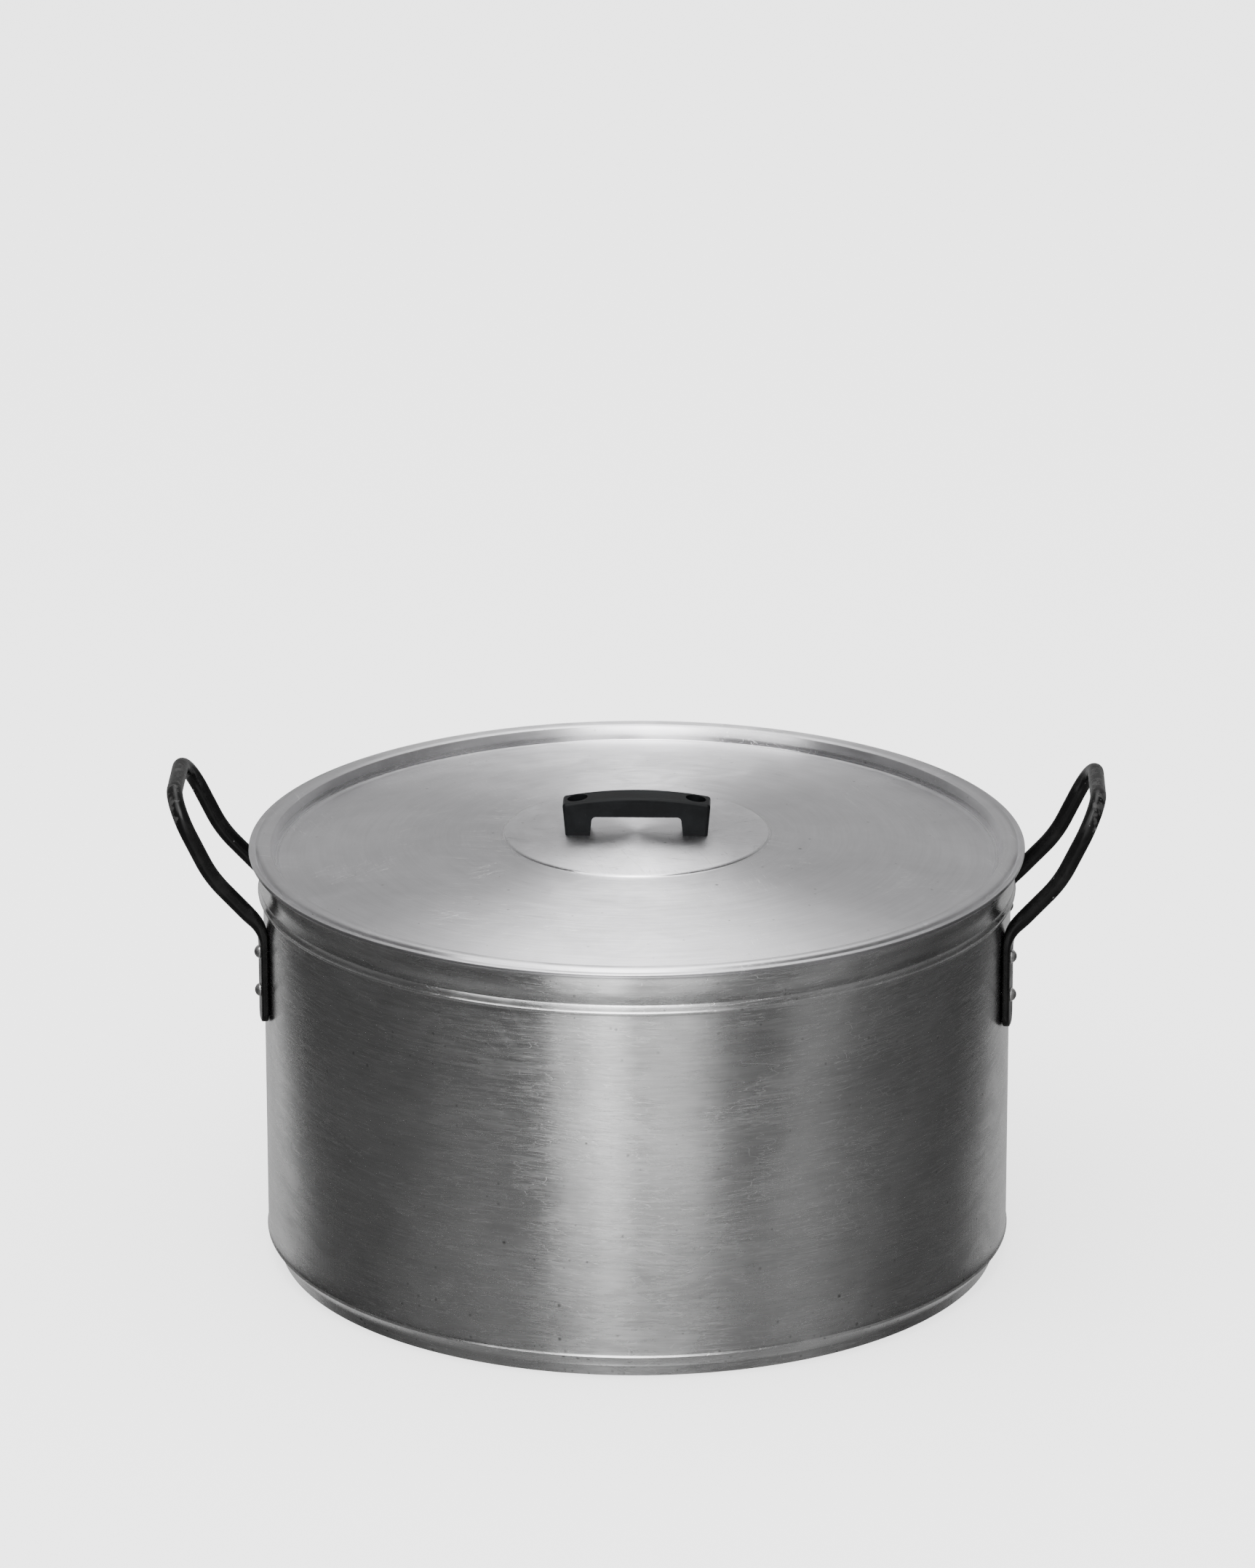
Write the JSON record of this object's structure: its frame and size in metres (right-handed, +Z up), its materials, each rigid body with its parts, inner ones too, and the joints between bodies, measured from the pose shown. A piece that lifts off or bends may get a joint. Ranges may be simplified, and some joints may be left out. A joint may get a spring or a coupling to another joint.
{
  "type": "catering boiling pot with lid",
  "caption": "Large aluminium boiling pot with a loose recessed lid, a plastic bridge handle on the lid and riveted bent-bar side handles.",
  "frame": {"origin": "centre of the pot's underside, on the surface that it stands on", "axes": "+Z up along the pot's axis, +X through the right side handle, -Y towards the front"},
  "size_m": [0.6238, 0.5176, 0.3319],
  "materials": {
    "spun_aluminium": "spun and brushed, worn",
    "lid_aluminium": "circular brushed, lightly scratched",
    "black_bar": "gloss black paint, worn grey on the grips",
    "rivet_aluminium": "bright, domed",
    "black_plastic": "satin moulded",
    "screw_steel": "plated"
  },
  "bodies": {
    "pot": {"pot_body": "spun_aluminium", "right_handle": "black_bar", "left_handle": "black_bar", "right_front_rivets": "rivet_aluminium", "right_rear_rivets": "rivet_aluminium", "left_front_rivets": "rivet_aluminium", "left_rear_rivets": "rivet_aluminium"},
    "lid": {"lid_shell": "lid_aluminium", "lid_handle": "black_plastic", "lid_handle_screws": "screw_steel", "lid_washers": "screw_steel", "lid_nuts": "screw_steel"}
  },
  "joints": [
    {"name": "lid_lift", "type": "slide", "parent": "pot", "child": "lid", "axis": [0, 0, 1], "range_m": [0, 0.2]}
  ]
}
